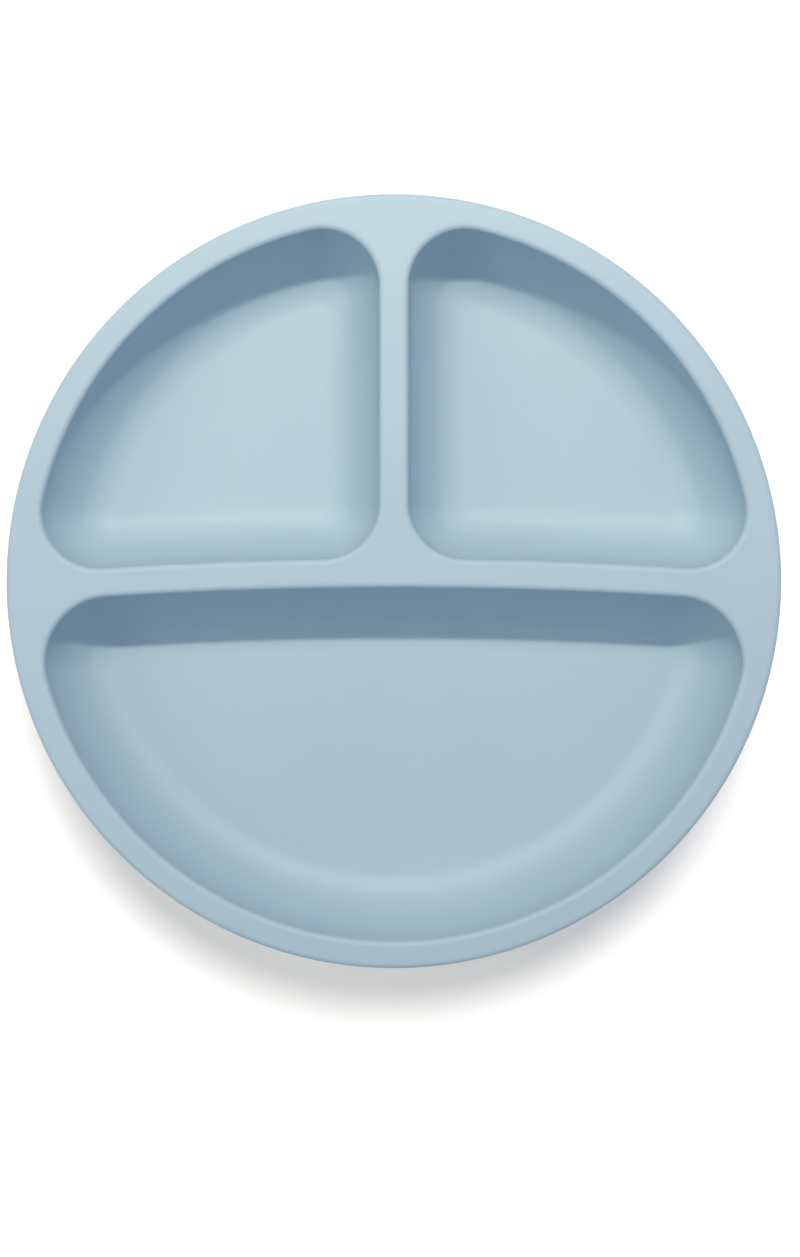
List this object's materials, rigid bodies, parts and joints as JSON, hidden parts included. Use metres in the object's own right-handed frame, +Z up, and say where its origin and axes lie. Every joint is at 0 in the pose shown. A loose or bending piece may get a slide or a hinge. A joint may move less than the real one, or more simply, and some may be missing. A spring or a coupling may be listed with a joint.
{
  "type": "divided suction plate",
  "caption": "Round silicone toddler plate divided into deep food pockets, standing on a bonded suction cup with a release tab.",
  "frame": {"origin": "on the table, under the middle of the plate", "axes": "+Z up, +Y from the wide pocket towards the two small pockets, +X to the right of someone who sits at the wide pocket"},
  "size_m": [0.19, 0.19, 0.036],
  "materials": {
    "dish_silicone": "satin moulded silicone, powder blue",
    "cup_silicone": "smooth soft silicone, powder blue"
  },
  "bodies": {
    "plate": {"divided_dish": "dish_silicone", "suction_hub": "cup_silicone"},
    "lip": {"sealing_lip": "cup_silicone", "suction_skirt": "cup_silicone"},
    "tab": {"release_tab": "cup_silicone"}
  },
  "joints": [
    {"name": "suction_press", "type": "slide", "parent": "plate", "child": "lip", "axis": [0, 0, 1], "range_m": [0, 0.0025], "stiffness_N_per_m": 1200, "springref_m": -0.003, "deforming": ["suction_skirt"]},
    {"name": "tab_lift", "type": "hinge", "parent": "lip", "child": "tab", "pos_m": [0, -0.06048, 0.002], "axis": [-1, 0, 0], "range_deg": [0, 24], "stiffness_Nm_per_rad": 0.02}
  ]
}
